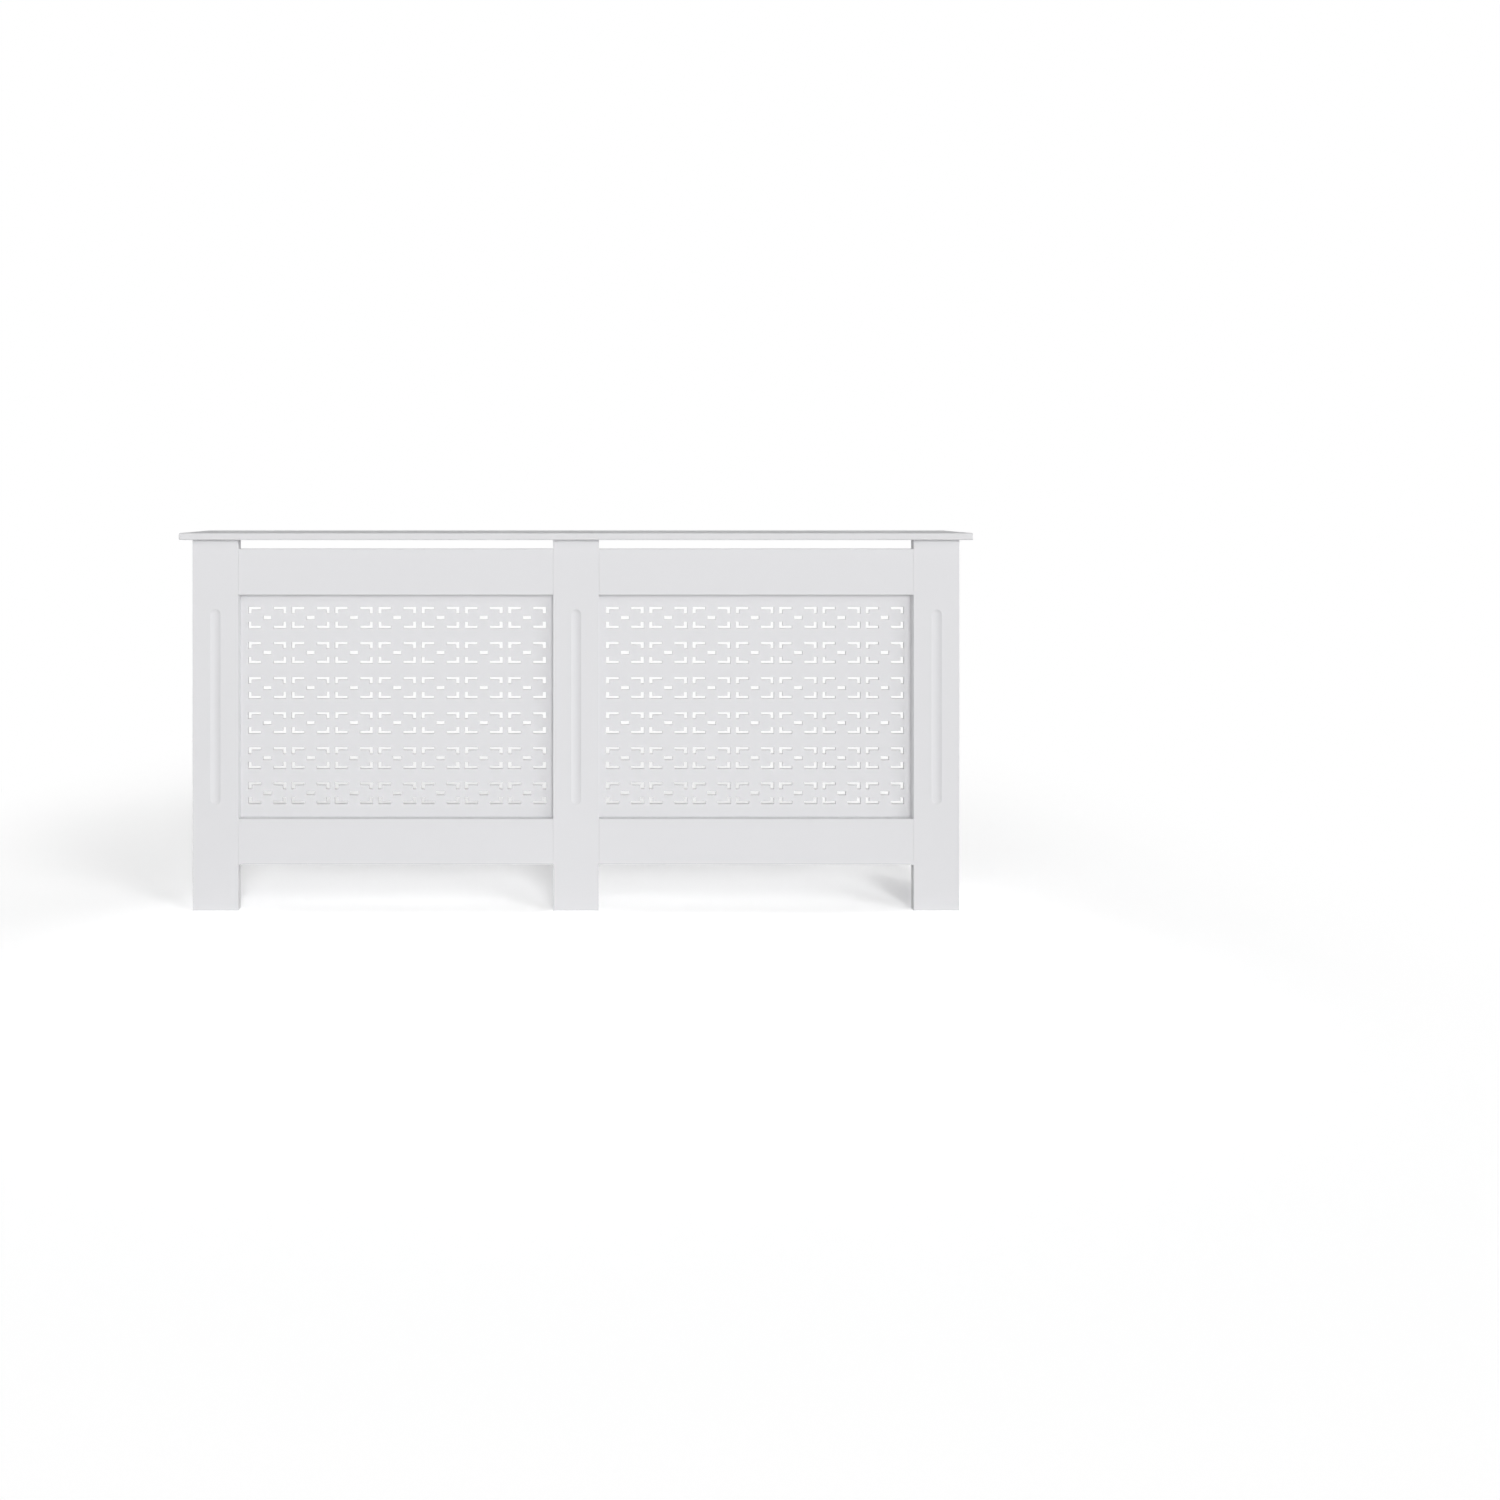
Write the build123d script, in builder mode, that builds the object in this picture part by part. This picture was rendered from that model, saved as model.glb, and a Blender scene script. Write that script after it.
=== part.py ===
from build123d import *
import os

# Radiator cover cabinet, in millimetres. X = 0 is the middle of the width, the front faces -Y,
# the wall is on +Y and the floor is Z = 0. Every board is painted fibreboard. The front frame is
# three posts and four rails, with a fretted grille behind each opening. Side panels stand behind
# the outer posts, and the shelf on top is two halves that meet at X = 0.

os.makedirs("parts", exist_ok=True)

# ---- Overall ----
overall_width = 1720.0
overall_depth = 190.0
overall_height = 823.0

# ---- Shelf ----
shelf_thickness = 15.0
end_overhang = 25.0
front_overhang = 15.0
shelf_round = 2.5
seam_chamfer = 0.5

# ---- Front frame ----
post_width = 100.0
rail_height = 100.0
frame_thickness = 18.0
air_gap = 20.0
leg_gap = 100.0
arris = 1.0

# ---- Flutes in the posts ----
flute_width = 22.0
flute_depth = 4.0
flute_length = 425.0

# ---- Side panels, with a rear notch that clears a skirting board ----
side_thickness = 18.0
notch_depth = 25.0
notch_height = 163.0
notch_radius = 18.0

# ---- Grilles: as many whole motifs as the opening holds, each of four L-shaped slots round a
# ---- short dash
grille_thickness = 6.0
grille_lap = 20.0
motif_pitch_x = 95.0
motif_pitch_z = 77.0
motif_width = 83.0
motif_height = 47.0
level_leg = 28.0
level_slot = 5.8
upright_leg = 14.5
upright_slot = 7.0
dash_width = 18.0
dash_height = 8.2

# ---- Dowels ----
dowel_radius = 4.0
dowel_length = 30.0
dowel_in_face = 10.0
dowel_chamfer = 1.0
dowel_clearance = 0.1
dowel_end_gap = 0.5

# ---- Cam bolts and cams: the bolt's head is caught in the cam, turned to pull the joint tight ----
fitting_depth = 9.0
bolt_thread_radius = 2.5
bolt_in_face = 11.0
bolt_collar_radius = 3.8
bolt_collar_length = 2.0
bolt_shank_radius = 3.0
bolt_neck_radius = 2.0
bolt_neck_length = 6.0
bolt_head_radius = 3.3
bolt_head_length = 3.0
bolt_clearance = 0.1
cam_distance = 24.0
cam_radius = 7.5
cam_height = 13.5
cam_chamfer = 0.5
cam_clearance = 0.1
cam_floor_gap = 0.5
cross_length = 8.0
cross_width = 1.4
cross_depth = 2.5

# ---- Where the fittings stand, from the edges of the boards ----
rail_dowel_inset = 22.0
side_cam_inset = 110.0
side_cam_count = 3
shelf_cam_front_inset = 42.0
shelf_cam_back_inset = 30.0
centre_cam_x = 20.0
centre_dowel_inset = 10.0
seam_front_inset = 50.0
seam_back_inset = 16.0
seam_stations = 5

# ---- Screws ----
grille_screw_radius = 1.75
grille_screw_length = 14.0
grille_screw_inset = 60.0
grille_screws_along_rail = 4
grille_screws_along_post = 3
steel_screw_radius = 2.0
steel_screw_length = 12.0
head_radius_ratio = 2.0
head_height_ratio = 1.2
tip_length_ratio = 1.6
recess_depth_ratio = 0.6
recess_width_ratio = 0.45
rim_height_ratio = 0.4
pilot_clearance = 0.05
through_clearance = 0.3
screw_tip_gap = 0.5

# ---- Steel plates across the seam and brackets to the wall ----
steel_thickness = 2.0
seam_plate_length = 100.0
seam_plate_width = 20.0
seam_plate_corner = 3.0
seam_hole_near = 15.0
seam_hole_far = 40.0
bracket_leg = 30.0
bracket_width = 20.0
bracket_bend = 2.0
bracket_hole = 20.0
wall_hole_radius = 2.5
bracket_above_notch = 90.0
bracket_below_top = 110.0
shelf_bracket_x = 30.0

# ---- Planes and levels that follow from these ----
body_height = overall_height - shelf_thickness
half_body = overall_width / 2 - end_overhang
back = overall_depth / 2
shelf_front = -overall_depth / 2
frame_front = shelf_front + front_overhang
frame_back = frame_front + frame_thickness
grille_back = frame_back + grille_thickness
side_inner = half_body - side_thickness
opening_inner = post_width / 2
opening_outer = half_body - post_width
opening_width = opening_outer - opening_inner
opening_mid = (opening_outer + opening_inner) / 2
opening_bottom = leg_gap + rail_height
opening_top = body_height - air_gap - rail_height
opening_height = opening_top - opening_bottom
opening_level = (opening_top + opening_bottom) / 2
motif_columns = int(opening_width // motif_pitch_x)
motif_rows = int(opening_height // motif_pitch_z)
fitting_y = frame_back - fitting_depth
fitting_x = side_inner + fitting_depth
front_plane = Plane.XZ.offset(-frame_front)

sides = {"left": -1, "right": 1}
rail_levels = {
    "top": opening_top + rail_height / 2,
    "bottom": opening_bottom - rail_height / 2,
}
post_places = {
    "left": -(half_body - post_width / 2),
    "centre": 0.0,
    "right": half_body - post_width / 2,
}

dowel_bore = dowel_radius + dowel_clearance
dowel_half = dowel_length / 2
dowel_in_edge = dowel_length - dowel_in_face
thread_bore = bolt_thread_radius + pilot_clearance
grille_pilot = grille_screw_radius + pilot_clearance
steel_pilot = steel_screw_radius + pilot_clearance
standing = (Align.CENTER, Align.CENTER, Align.MIN)
hanging = (Align.CENTER, Align.CENTER, Align.MAX)


def spread(first, last, count):
    """Places spaced evenly from first to last."""
    step = (last - first) / (count - 1)
    return [first + step * i for i in range(count)]


# ---- Where two boards meet. Each place is a plane on the contact between them: its z runs into
# ---- the board that holds the cam, and its x runs out of the face that the cam is let into.
def rail_end(side, inner, level):
    """The middle of a rail's end, against the centre post (inner) or an outer post."""
    x = side * (opening_inner if inner else opening_outer)
    into_rail = side if inner else -side
    return Plane((x, fitting_y, level), x_dir=(0, 1, 0), z_dir=(into_rail, 0, 0))


def rail_dowels_at(side, inner, level):
    """A dowel above and one below the cam bolt, in from the rail's edges."""
    offset = rail_height / 2 - rail_dowel_inset
    return [rail_end(side, inner, level - offset), rail_end(side, inner, level + offset)]


def side_edge(side, level):
    """A point on the side panel's front edge, against the back of the outer post."""
    return Plane((side * fitting_x, frame_back, level), x_dir=(-side, 0, 0), z_dir=(0, 1, 0))


def side_top(side, y):
    """A point on the side panel's top edge, under the shelf."""
    return Plane((side * fitting_x, y, body_height), x_dir=(-side, 0, 0), z_dir=(0, 0, -1))


def post_top(x):
    """A point on a post's top end, under the shelf."""
    return Plane((x, fitting_y, body_height), x_dir=(0, 1, 0), z_dir=(0, 0, -1))


side_cam_levels = spread(side_cam_inset, body_height - side_cam_inset, side_cam_count)
side_dowel_levels = [(a + b) / 2 for a, b in zip(side_cam_levels, side_cam_levels[1:])]
shelf_cam_ys = [frame_back + shelf_cam_front_inset, back - shelf_cam_back_inset]
shelf_dowel_y = sum(shelf_cam_ys) / 2
centre_dowel_x = opening_inner - centre_dowel_inset
seam_ys = spread(shelf_front + seam_front_inset, back - seam_back_inset, seam_stations)
seam_level = body_height + shelf_thickness / 2


def side_cams_at(side):
    """The cam bolts between a side panel and its post."""
    return [side_edge(side, level) for level in side_cam_levels]


def side_dowels_at(side):
    """The dowels between them, halfway from cam to cam."""
    return [side_edge(side, level) for level in side_dowel_levels]


def panel_shelf_cams_at(side):
    """The cam bolts that hold the shelf down on a side panel."""
    return [side_top(side, y) for y in shelf_cam_ys]


def post_dowels_at(name):
    """The dowels that stand in one post's top end."""
    if name == "centre":
        return [post_top(-centre_dowel_x), post_top(centre_dowel_x)]
    return [post_top(post_places[name])]


# The seam dowels' planes lie on X = 0 with z into the right half of the shelf.
seam_dowel_places = [Plane((0, y, seam_level), z_dir=(1, 0, 0)) for y in seam_ys[0::2]]
centre_cam_places = {side: [post_top(side * centre_cam_x)] for side in sides.values()}


# ---- Where screws go. Each place is a plane under the screw's head, with z out of the surface.
def grille_screws_at(side, edge):
    """The screws along one edge of a grille, in the middle of its lap over the frame."""
    half_lap = grille_lap / 2
    along_x = spread(
        opening_inner + grille_screw_inset,
        opening_outer - grille_screw_inset,
        grille_screws_along_rail,
    )
    along_z = spread(
        opening_bottom + grille_screw_inset,
        opening_top - grille_screw_inset,
        grille_screws_along_post,
    )
    points = {
        "top": [(x, opening_top + half_lap) for x in along_x],
        "bottom": [(x, opening_bottom - half_lap) for x in along_x],
        "inner": [(opening_inner - half_lap, z) for z in along_z],
        "outer": [(opening_outer + half_lap, z) for z in along_z],
    }
    return [Plane((side * x, grille_back, z), z_dir=(0, 1, 0)) for x, z in points[edge]]


def side_brackets_at(side):
    """The two brackets on a side panel, x away from the panel and z away from the wall."""
    levels = (notch_height + bracket_above_notch, body_height - bracket_below_top)
    return [
        Plane((side * side_inner, back, level), x_dir=(-side, 0, 0), z_dir=(0, -1, 0))
        for level in levels
    ]


def shelf_bracket_at(side):
    """The bracket under one half of the shelf."""
    return Plane((side * shelf_bracket_x, back, body_height), x_dir=(0, 0, -1), z_dir=(0, -1, 0))


def bracket_screw_at(bracket):
    """The screw through a bracket's leg that lies on the board."""
    seat = bracket.from_local_coords(Vector(steel_thickness, 0, bracket_hole))
    return Plane(seat, z_dir=bracket.x_dir)


def seam_screws_at(side):
    """The screws through the seam plates into one half of the shelf."""
    xs = (side * seam_hole_near, side * seam_hole_far)
    plate_face = body_height - steel_thickness
    return [Plane((x, y, plate_face), z_dir=(0, 0, -1)) for y in seam_ys[1::2] for x in xs]


# ---- Cuts that the boards share, made in the block that calls them ----
def bore(places, radius, depth):
    """Blind holes that start on the contact plane and run along its z."""
    with Locations(*places):
        Cylinder(radius, depth, align=standing, mode=Mode.SUBTRACT)


def bore_for_cams(places):
    """For each cam, its round pocket in the face and the bolt's channel in from the edge."""
    bore(places, bolt_collar_radius + bolt_clearance, cam_distance)
    with Locations(*places):
        with Locations((fitting_depth, 0, cam_distance)):
            Cylinder(
                cam_radius + cam_clearance,
                cam_height + cam_floor_gap,
                rotation=(0, 90, 0),
                align=hanging,
                mode=Mode.SUBTRACT,
            )


def drill(places, radius, length):
    """Pilot holes that start under the screws' heads and run against z."""
    with Locations(*places):
        Cylinder(radius, length + screw_tip_gap, align=hanging, mode=Mode.SUBTRACT)


# ---- Posts: flat boards with one shallow flute, its ends rounded by the same cutter ----
cove_radius = (flute_width**2 / 4 + flute_depth**2) / (2 * flute_depth)
cove_y = frame_front + flute_depth - cove_radius
flute_low = opening_level - (flute_length - flute_width) / 2
flute_high = opening_level + (flute_length - flute_width) / 2

for name, post_x in post_places.items():
    inner = name == "centre"
    rail_sides = list(sides.values()) if inner else [sides[name]]
    with BuildPart() as post:
        with BuildSketch(front_plane):
            with Locations((post_x, 0)):
                Rectangle(post_width, body_height, align=(Align.CENTER, Align.MIN))
        extrude(amount=-frame_thickness)
        fillet(post.faces().sort_by(Axis.Y)[0].edges(), radius=arris)

        with BuildSketch(Plane.YZ.offset(post_x)):
            with BuildLine():
                CenterArc((cove_y, flute_low), cove_radius, -90, 90)
                Line((cove_y + cove_radius, flute_low), (cove_y + cove_radius, flute_high))
                CenterArc((cove_y, flute_high), cove_radius, 0, 90)
                Line((cove_y, flute_high + cove_radius), (cove_y, flute_low - cove_radius))
            make_face()
        revolve(axis=Axis((post_x, cove_y, 0), (0, 0, 1)), mode=Mode.SUBTRACT)

        for side in rail_sides:
            for level in rail_levels.values():
                bore([-rail_end(side, inner, level)], thread_bore, bolt_in_face + screw_tip_gap)
                bore(
                    [-place for place in rail_dowels_at(side, inner, level)],
                    dowel_bore,
                    dowel_half + dowel_end_gap,
                )
            drill(
                grille_screws_at(side, "inner" if inner else "outer"),
                grille_pilot,
                grille_screw_length,
            )
            if inner:
                bore_for_cams(centre_cam_places[side])
            else:
                side_bolts = [-place for place in side_cams_at(side)]
                side_dowels = [-place for place in side_dowels_at(side)]
                bore(side_bolts, thread_bore, bolt_in_face + screw_tip_gap)
                bore(side_dowels, dowel_bore, dowel_in_face + dowel_end_gap)
        bore(post_dowels_at(name), dowel_bore, dowel_in_edge + dowel_end_gap)
    post.part.label = f"post_{name}"
    export_step(post.part, f"parts/{post.part.label}.step")

# ---- Rails: flat boards between the posts, above and below each opening ----
for side_name, side in sides.items():
    for level_name, level in rail_levels.items():
        with BuildPart() as rail:
            with BuildSketch(front_plane):
                with Locations((side * opening_mid, level)):
                    Rectangle(opening_width, rail_height)
            extrude(amount=-frame_thickness)
            fillet(rail.faces().sort_by(Axis.Y)[0].edges(), radius=arris)
            for inner in (True, False):
                bore_for_cams([rail_end(side, inner, level)])
                bore(
                    rail_dowels_at(side, inner, level),
                    dowel_bore,
                    dowel_half + dowel_end_gap,
                )
            drill(grille_screws_at(side, level_name), grille_pilot, grille_screw_length)
        rail.part.label = f"{level_name}_rail_{side_name}"
        export_step(rail.part, f"parts/{rail.part.label}.step")

# ---- Grilles: thin sheets behind the frame, lapped over it on all four sides ----
with BuildSketch() as motif:
    for flip_x in (-1, 1):
        for flip_z in (-1, 1):
            corner = (flip_x * motif_width / 2, flip_z * motif_height / 2)
            turn = (
                Align.MAX if flip_x > 0 else Align.MIN,
                Align.MAX if flip_z > 0 else Align.MIN,
            )
            with Locations(corner):
                Rectangle(level_leg, level_slot, align=turn)
                Rectangle(upright_slot, upright_leg, align=turn)
    Rectangle(dash_width, dash_height)

for side_name, side in sides.items():
    with BuildPart() as grille:
        with BuildSketch(Plane.XZ.offset(-frame_back)):
            with Locations((side * opening_mid, opening_level)):
                Rectangle(opening_width + 2 * grille_lap, opening_height + 2 * grille_lap)
                with GridLocations(motif_pitch_x, motif_pitch_z, motif_columns, motif_rows):
                    add(motif.sketch, mode=Mode.SUBTRACT)
        extrude(amount=-grille_thickness)
        for edge in ("top", "bottom", "inner", "outer"):
            drill(
                grille_screws_at(side, edge),
                grille_screw_radius + through_clearance,
                grille_screw_length,
            )
    grille.part.label = f"grille_{side_name}"
    export_step(grille.part, f"parts/{grille.part.label}.step")

# ---- Side panels: floor to shelf behind the outer posts, notched at the foot of the back edge ----
for side_name, side in sides.items():
    with BuildPart() as side_panel:
        with BuildSketch(Plane.YZ.offset(side * half_body)):
            with Locations((back, 0)):
                Rectangle(back - frame_back, body_height, align=(Align.MAX, Align.MIN))
                Rectangle(
                    notch_depth, notch_height, align=(Align.MAX, Align.MIN), mode=Mode.SUBTRACT
                )
            notch_corner = vertices().sort_by_distance((back - notch_depth, notch_height))[0]
            fillet(notch_corner, radius=notch_radius)
        extrude(amount=-side * side_thickness)
        bore_for_cams(side_cams_at(side))
        bore_for_cams(panel_shelf_cams_at(side))
        bore(side_dowels_at(side), dowel_bore, dowel_in_edge + dowel_end_gap)
        bore([side_top(side, shelf_dowel_y)], dowel_bore, dowel_in_edge + dowel_end_gap)
        drill(
            [bracket_screw_at(bracket) for bracket in side_brackets_at(side)],
            steel_pilot,
            steel_screw_length,
        )
    side_panel.part.label = f"side_panel_{side_name}"
    export_step(side_panel.part, f"parts/{side_panel.part.label}.step")

# ---- Shelf halves: rounded along the front and the outer end, chamfered at the seam ----
for side_name, side in sides.items():
    with BuildPart() as shelf:
        with BuildSketch(Plane.XY.offset(body_height)):
            Rectangle(
                overall_width / 2,
                overall_depth,
                align=(Align.MIN if side > 0 else Align.MAX, Align.CENTER),
            )
        extrude(amount=shelf_thickness)
        outer_end = shelf.faces().sort_by(Axis.X, reverse=side > 0)[0]
        front_edge = shelf.faces().sort_by(Axis.Y)[0]
        rounded = front_edge.edges().filter_by(Axis.X)
        rounded += outer_end.edges().filter_by(Axis.Y)
        rounded += outer_end.edges().filter_by(Axis.Z).sort_by(Axis.Y)[0:1]
        fillet(rounded, radius=shelf_round)
        seam_face = shelf.faces().sort_by(Axis.X, reverse=side < 0)[0]
        chamfer(seam_face.edges(), length=seam_chamfer)

        seam_bores = seam_dowel_places if side > 0 else [-place for place in seam_dowel_places]
        bore(seam_bores, dowel_bore, dowel_half + dowel_end_gap)
        bolts_below = panel_shelf_cams_at(side) + centre_cam_places[side]
        bore([-place for place in bolts_below], thread_bore, bolt_in_face + screw_tip_gap)
        dowels_below = [
            side_top(side, shelf_dowel_y),
            post_top(post_places[side_name]),
            post_top(side * centre_dowel_x),
        ]
        bore([-place for place in dowels_below], dowel_bore, dowel_in_face + dowel_end_gap)
        drill(seam_screws_at(side), steel_pilot, steel_screw_length)
        drill([bracket_screw_at(shelf_bracket_at(side))], steel_pilot, steel_screw_length)
    shelf.part.label = f"shelf_{side_name}"
    export_step(shelf.part, f"parts/{shelf.part.label}.step")

# ---- Dowels: one plain dowel, set at every place with the share of it that each board holds ----
with BuildPart() as dowel:
    Cylinder(dowel_radius, dowel_length, align=standing)
    chamfer(dowel.edges().filter_by(GeomType.CIRCLE), length=dowel_chamfer)

rail_contacts = [
    (side, inner, level)
    for side in sides.values()
    for inner in (True, False)
    for level in rail_levels.values()
]

with BuildPart() as rail_dowels:
    with Locations(*[place for contact in rail_contacts for place in rail_dowels_at(*contact)]):
        with Locations((0, 0, -dowel_half)):
            add(dowel.part)
rail_dowels.part.label = "rail_dowels"
export_step(rail_dowels.part, "parts/rail_dowels.step")

with BuildPart() as side_panel_dowels:
    with Locations(*[place for side in sides.values() for place in side_dowels_at(side)]):
        with Locations((0, 0, -dowel_in_face)):
            add(dowel.part)
side_panel_dowels.part.label = "side_panel_dowels"
export_step(side_panel_dowels.part, "parts/side_panel_dowels.step")

with BuildPart() as shelf_dowels:
    on_posts = [place for name in post_places for place in post_dowels_at(name)]
    on_panels = [side_top(side, shelf_dowel_y) for side in sides.values()]
    with Locations(*on_posts, *on_panels):
        with Locations((0, 0, -dowel_in_face)):
            add(dowel.part)
shelf_dowels.part.label = "shelf_dowels"
export_step(shelf_dowels.part, "parts/shelf_dowels.step")

with BuildPart() as seam_dowels:
    with Locations(*seam_dowel_places):
        with Locations((0, 0, -dowel_half)):
            add(dowel.part)
seam_dowels.part.label = "seam_dowels"
export_step(seam_dowels.part, "parts/seam_dowels.step")

# ---- Cam bolt: thread below its collar, then shank, neck and the head that the cam catches ----
head_start = cam_distance - bolt_head_length / 2
neck_start = head_start - bolt_neck_length

with BuildPart() as cam_bolt:
    with BuildSketch(Plane.XZ):
        with BuildLine():
            Polyline(
                (0, -bolt_in_face),
                (bolt_thread_radius, -bolt_in_face),
                (bolt_thread_radius, 0),
                (bolt_collar_radius, 0),
                (bolt_collar_radius, bolt_collar_length),
                (bolt_shank_radius, bolt_collar_length),
                (bolt_shank_radius, neck_start),
                (bolt_neck_radius, neck_start),
                (bolt_neck_radius, head_start),
                (bolt_head_radius, head_start),
                (bolt_head_radius, head_start + bolt_head_length),
                (0, head_start + bolt_head_length),
                close=True,
            )
        make_face()
    revolve(axis=Axis.Z)

# ---- Cam: a round slug with a pocket for the bolt's head, a quarter-turn slot for its neck, a
# ---- side hole where the head goes in, and a cross in its face for the screwdriver.
head_pocket = bolt_head_radius + bolt_clearance
neck_slot = bolt_neck_radius + bolt_clearance

with BuildPart() as cam:
    with Locations((fitting_depth, 0, cam_distance)):
        Cylinder(cam_radius, cam_height, rotation=(0, 90, 0), align=hanging)
    rims = cam.edges().filter_by(GeomType.CIRCLE)
    chamfer(rims.sort_by(Axis.X)[-1], length=cam_chamfer)
    with Locations((0, 0, cam_distance)):
        Cylinder(head_pocket, bolt_head_length + 2 * bolt_clearance, mode=Mode.SUBTRACT)
        Cylinder(
            head_pocket, cam_radius, rotation=(-90, 0, 0), align=standing, mode=Mode.SUBTRACT
        )
        with Locations((0, -neck_slot, neck_slot)):
            Box(
                2 * neck_slot,
                cam_radius + neck_slot,
                cam_radius + neck_slot,
                align=(Align.CENTER, Align.MIN, Align.MAX),
                mode=Mode.SUBTRACT,
            )
    with Locations((fitting_depth, 0, cam_distance)):
        for length_y, length_z in ((cross_length, cross_width), (cross_width, cross_length)):
            Box(
                cross_depth,
                length_y,
                length_z,
                align=(Align.MAX, Align.CENTER, Align.CENTER),
                mode=Mode.SUBTRACT,
            )

cam_groups = {
    "rail": [rail_end(*contact) for contact in rail_contacts],
    "side_panel": [place for side in sides.values() for place in side_cams_at(side)],
    "shelf": [
        place
        for side in sides.values()
        for place in panel_shelf_cams_at(side) + centre_cam_places[side]
    ],
}

for group, places in cam_groups.items():
    with BuildPart() as group_bolts:
        with Locations(*places):
            add(cam_bolt.part)
    group_bolts.part.label = f"{group}_cam_bolts"
    export_step(group_bolts.part, f"parts/{group_bolts.part.label}.step")

    with BuildPart() as group_cams:
        with Locations(*places):
            add(cam.part)
    group_cams.part.label = f"{group}_cams"
    export_step(group_cams.part, f"parts/{group_cams.part.label}.step")


# ---- Screws: drawn with the head's seat at Z = 0 and the shank below it ----
def pan_head_screw(radius, length):
    """A screw with a low domed head, a cross recess and a pointed tip."""
    head_radius = radius * head_radius_ratio
    head_height = radius * head_height_ratio
    tip_length = radius * tip_length_ratio
    recess_width = radius * recess_width_ratio
    rim = (head_radius, radius * rim_height_ratio)
    with BuildPart() as screw:
        with BuildSketch(Plane.XZ):
            with BuildLine():
                Polyline(
                    (0, head_height),
                    (0, -length),
                    (radius, tip_length - length),
                    (radius, 0),
                    (head_radius, 0),
                    rim,
                )
                TangentArc((0, head_height), rim, tangent=(1, 0))
            make_face()
        revolve(axis=Axis.Z)
        with Locations((0, 0, head_height)):
            for size_x, size_y in ((head_radius, recess_width), (recess_width, head_radius)):
                Box(
                    size_x,
                    size_y,
                    2 * radius * recess_depth_ratio,
                    mode=Mode.SUBTRACT,
                )
    return screw.part


def countersunk_screw(radius, length):
    """A screw with a flat conical head, its face at Z = 0."""
    head_radius = radius * head_radius_ratio
    tip_length = radius * tip_length_ratio
    recess_width = radius * recess_width_ratio
    with BuildPart() as screw:
        with BuildSketch(Plane.XZ):
            with BuildLine():
                Polyline(
                    (0, 0),
                    (0, -length),
                    (radius, tip_length - length),
                    (radius, radius - head_radius),
                    (head_radius, 0),
                    close=True,
                )
            make_face()
        revolve(axis=Axis.Z)
        for size_x, size_y in ((head_radius, recess_width), (recess_width, head_radius)):
            Box(size_x, size_y, 2 * radius * recess_depth_ratio, mode=Mode.SUBTRACT)
    return screw.part


grille_screw = pan_head_screw(grille_screw_radius, grille_screw_length)
bracket_screw = pan_head_screw(steel_screw_radius, steel_screw_length)
seam_screw = countersunk_screw(steel_screw_radius, steel_screw_length)

with BuildPart() as grille_screws:
    for side in sides.values():
        for edge in ("top", "bottom", "inner", "outer"):
            with Locations(*grille_screws_at(side, edge)):
                add(grille_screw)
grille_screws.part.label = "grille_screws"
export_step(grille_screws.part, "parts/grille_screws.step")

# ---- Seam plates: flat steel strips under the shelf, across the joint of its halves ----
with BuildPart() as seam_plates:
    for y in seam_ys[1::2]:
        with BuildSketch(Plane.XY.offset(body_height)):
            with Locations((0, y)):
                RectangleRounded(seam_plate_length, seam_plate_width, seam_plate_corner)
        extrude(amount=-steel_thickness)
    with Locations(*[place for side in sides.values() for place in seam_screws_at(side)]):
        CounterSinkHole(
            steel_screw_radius + through_clearance,
            steel_screw_radius * head_radius_ratio + pilot_clearance,
            depth=steel_thickness,
        )
seam_plates.part.label = "seam_plates"
export_step(seam_plates.part, "parts/seam_plates.step")

with BuildPart() as seam_plate_screws:
    for side in sides.values():
        with Locations(*seam_screws_at(side)):
            add(seam_screw)
seam_plate_screws.part.label = "seam_plate_screws"
export_step(seam_plate_screws.part, "parts/seam_plate_screws.step")

# ---- Wall brackets: bent steel angles, one leg on the board and one flush with the back ----
with BuildPart() as bracket:
    with BuildSketch(Plane.XZ):
        Rectangle(bracket_leg, steel_thickness, align=(Align.MIN, Align.MIN))
        Rectangle(steel_thickness, bracket_leg, align=(Align.MIN, Align.MIN))
        inner_corner = vertices().sort_by_distance((steel_thickness, steel_thickness))[0]
        fillet(inner_corner, radius=bracket_bend)
        outer_corner = vertices().sort_by_distance((0, 0))[0]
        fillet(outer_corner, radius=bracket_bend + steel_thickness)
    extrude(amount=bracket_width / 2, both=True)
    with Locations((bracket_hole, 0, 0)):
        Cylinder(wall_hole_radius, steel_thickness, align=standing, mode=Mode.SUBTRACT)
    with Locations((0, 0, bracket_hole)):
        Cylinder(
            steel_screw_radius + through_clearance,
            steel_thickness,
            rotation=(0, 90, 0),
            align=standing,
            mode=Mode.SUBTRACT,
        )

bracket_places = [place for side in sides.values() for place in side_brackets_at(side)]
bracket_places += [shelf_bracket_at(side) for side in sides.values()]

with BuildPart() as wall_brackets:
    with Locations(*bracket_places):
        add(bracket.part)
wall_brackets.part.label = "wall_brackets"
export_step(wall_brackets.part, "parts/wall_brackets.step")

with BuildPart() as bracket_screws:
    with Locations(*[bracket_screw_at(place) for place in bracket_places]):
        add(bracket_screw)
bracket_screws.part.label = "bracket_screws"
export_step(bracket_screws.part, "parts/bracket_screws.step")
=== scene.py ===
import math

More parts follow.
